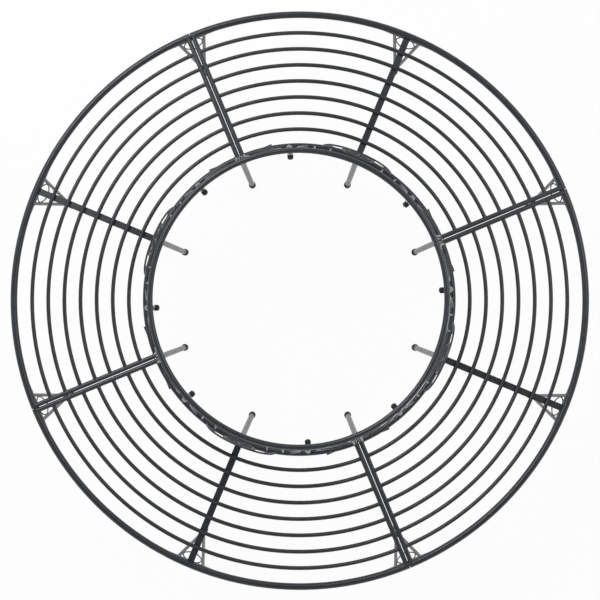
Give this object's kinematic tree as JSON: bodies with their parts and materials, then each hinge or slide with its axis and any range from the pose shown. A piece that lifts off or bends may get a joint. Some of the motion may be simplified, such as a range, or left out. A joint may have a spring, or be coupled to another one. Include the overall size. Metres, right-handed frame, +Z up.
{
  "type": "tree bench",
  "caption": "Round steel tree bench with a seat of concentric rods, a low ornamental backrest round the tree, V-shaped outer legs and slim inner legs with black feet.",
  "frame": {"origin": "centre of the ring on the floor, in the plane of the undersides of the foot caps", "axes": "+Z up, +Y towards the top edge of the picture, the first section joint 22.5 degrees from +X"},
  "size_m": [1.6, 1.6, 0.76],
  "materials": {
    "powder_coated_steel": "satin powder coat, dark slate grey",
    "black_plastic": "satin black",
    "zinc_plated_steel": "zinc plated"
  },
  "bodies": {
    "root": {"seat_outer_rail_1": "powder_coated_steel", "seat_outer_rail_2": "powder_coated_steel", "seat_outer_rail_3": "powder_coated_steel", "seat_outer_rail_4": "powder_coated_steel", "seat_inner_rail_1": "powder_coated_steel", "seat_inner_rail_2": "powder_coated_steel", "seat_inner_rail_3": "powder_coated_steel", "seat_inner_rail_4": "powder_coated_steel", "seat_rods_1": "powder_coated_steel", "seat_rods_2": "powder_coated_steel", "seat_rods_3": "powder_coated_steel", "seat_rods_4": "powder_coated_steel", "seat_end_bars_1": "powder_coated_steel", "seat_end_bars_2": "powder_coated_steel", "seat_end_bars_3": "powder_coated_steel", "seat_end_bars_4": "powder_coated_steel", "seat_middle_bar_1": "powder_coated_steel", "seat_middle_bar_2": "powder_coated_steel", "seat_middle_bar_3": "powder_coated_steel", "seat_middle_bar_4": "powder_coated_steel", "backrest_top_rail_1": "powder_coated_steel", "backrest_top_rail_2": "powder_coated_steel", "backrest_top_rail_3": "powder_coated_steel", "backrest_top_rail_4": "powder_coated_steel", "backrest_posts_1": "powder_coated_steel", "backrest_posts_2": "powder_coated_steel", "backrest_posts_3": "powder_coated_steel", "backrest_posts_4": "powder_coated_steel", "backrest_bars_1": "powder_coated_steel", "backrest_bars_2": "powder_coated_steel", "backrest_bars_3": "powder_coated_steel", "backrest_bars_4": "powder_coated_steel", "backrest_ornament_1": "powder_coated_steel", "backrest_ornament_2": "powder_coated_steel", "backrest_ornament_3": "powder_coated_steel", "backrest_ornament_4": "powder_coated_steel", "outer_leg_1": "powder_coated_steel", "outer_leg_2": "powder_coated_steel", "outer_leg_3": "powder_coated_steel", "outer_leg_4": "powder_coated_steel", "outer_leg_5": "powder_coated_steel", "outer_leg_6": "powder_coated_steel", "outer_leg_7": "powder_coated_steel", "outer_leg_8": "powder_coated_steel", "inner_leg_1": "powder_coated_steel", "inner_leg_2": "powder_coated_steel", "inner_leg_3": "powder_coated_steel", "inner_leg_4": "powder_coated_steel", "inner_leg_5": "powder_coated_steel", "inner_leg_6": "powder_coated_steel", "inner_leg_7": "powder_coated_steel", "inner_leg_8": "powder_coated_steel", "outer_foot_caps": "black_plastic", "inner_foot_caps": "black_plastic", "leg_bolts": "zinc_plated_steel", "backrest_studs": "zinc_plated_steel", "joint_bolts": "zinc_plated_steel", "flange_nuts": "zinc_plated_steel", "backrest_nut_caps": "black_plastic"}
  },
  "joints": []
}
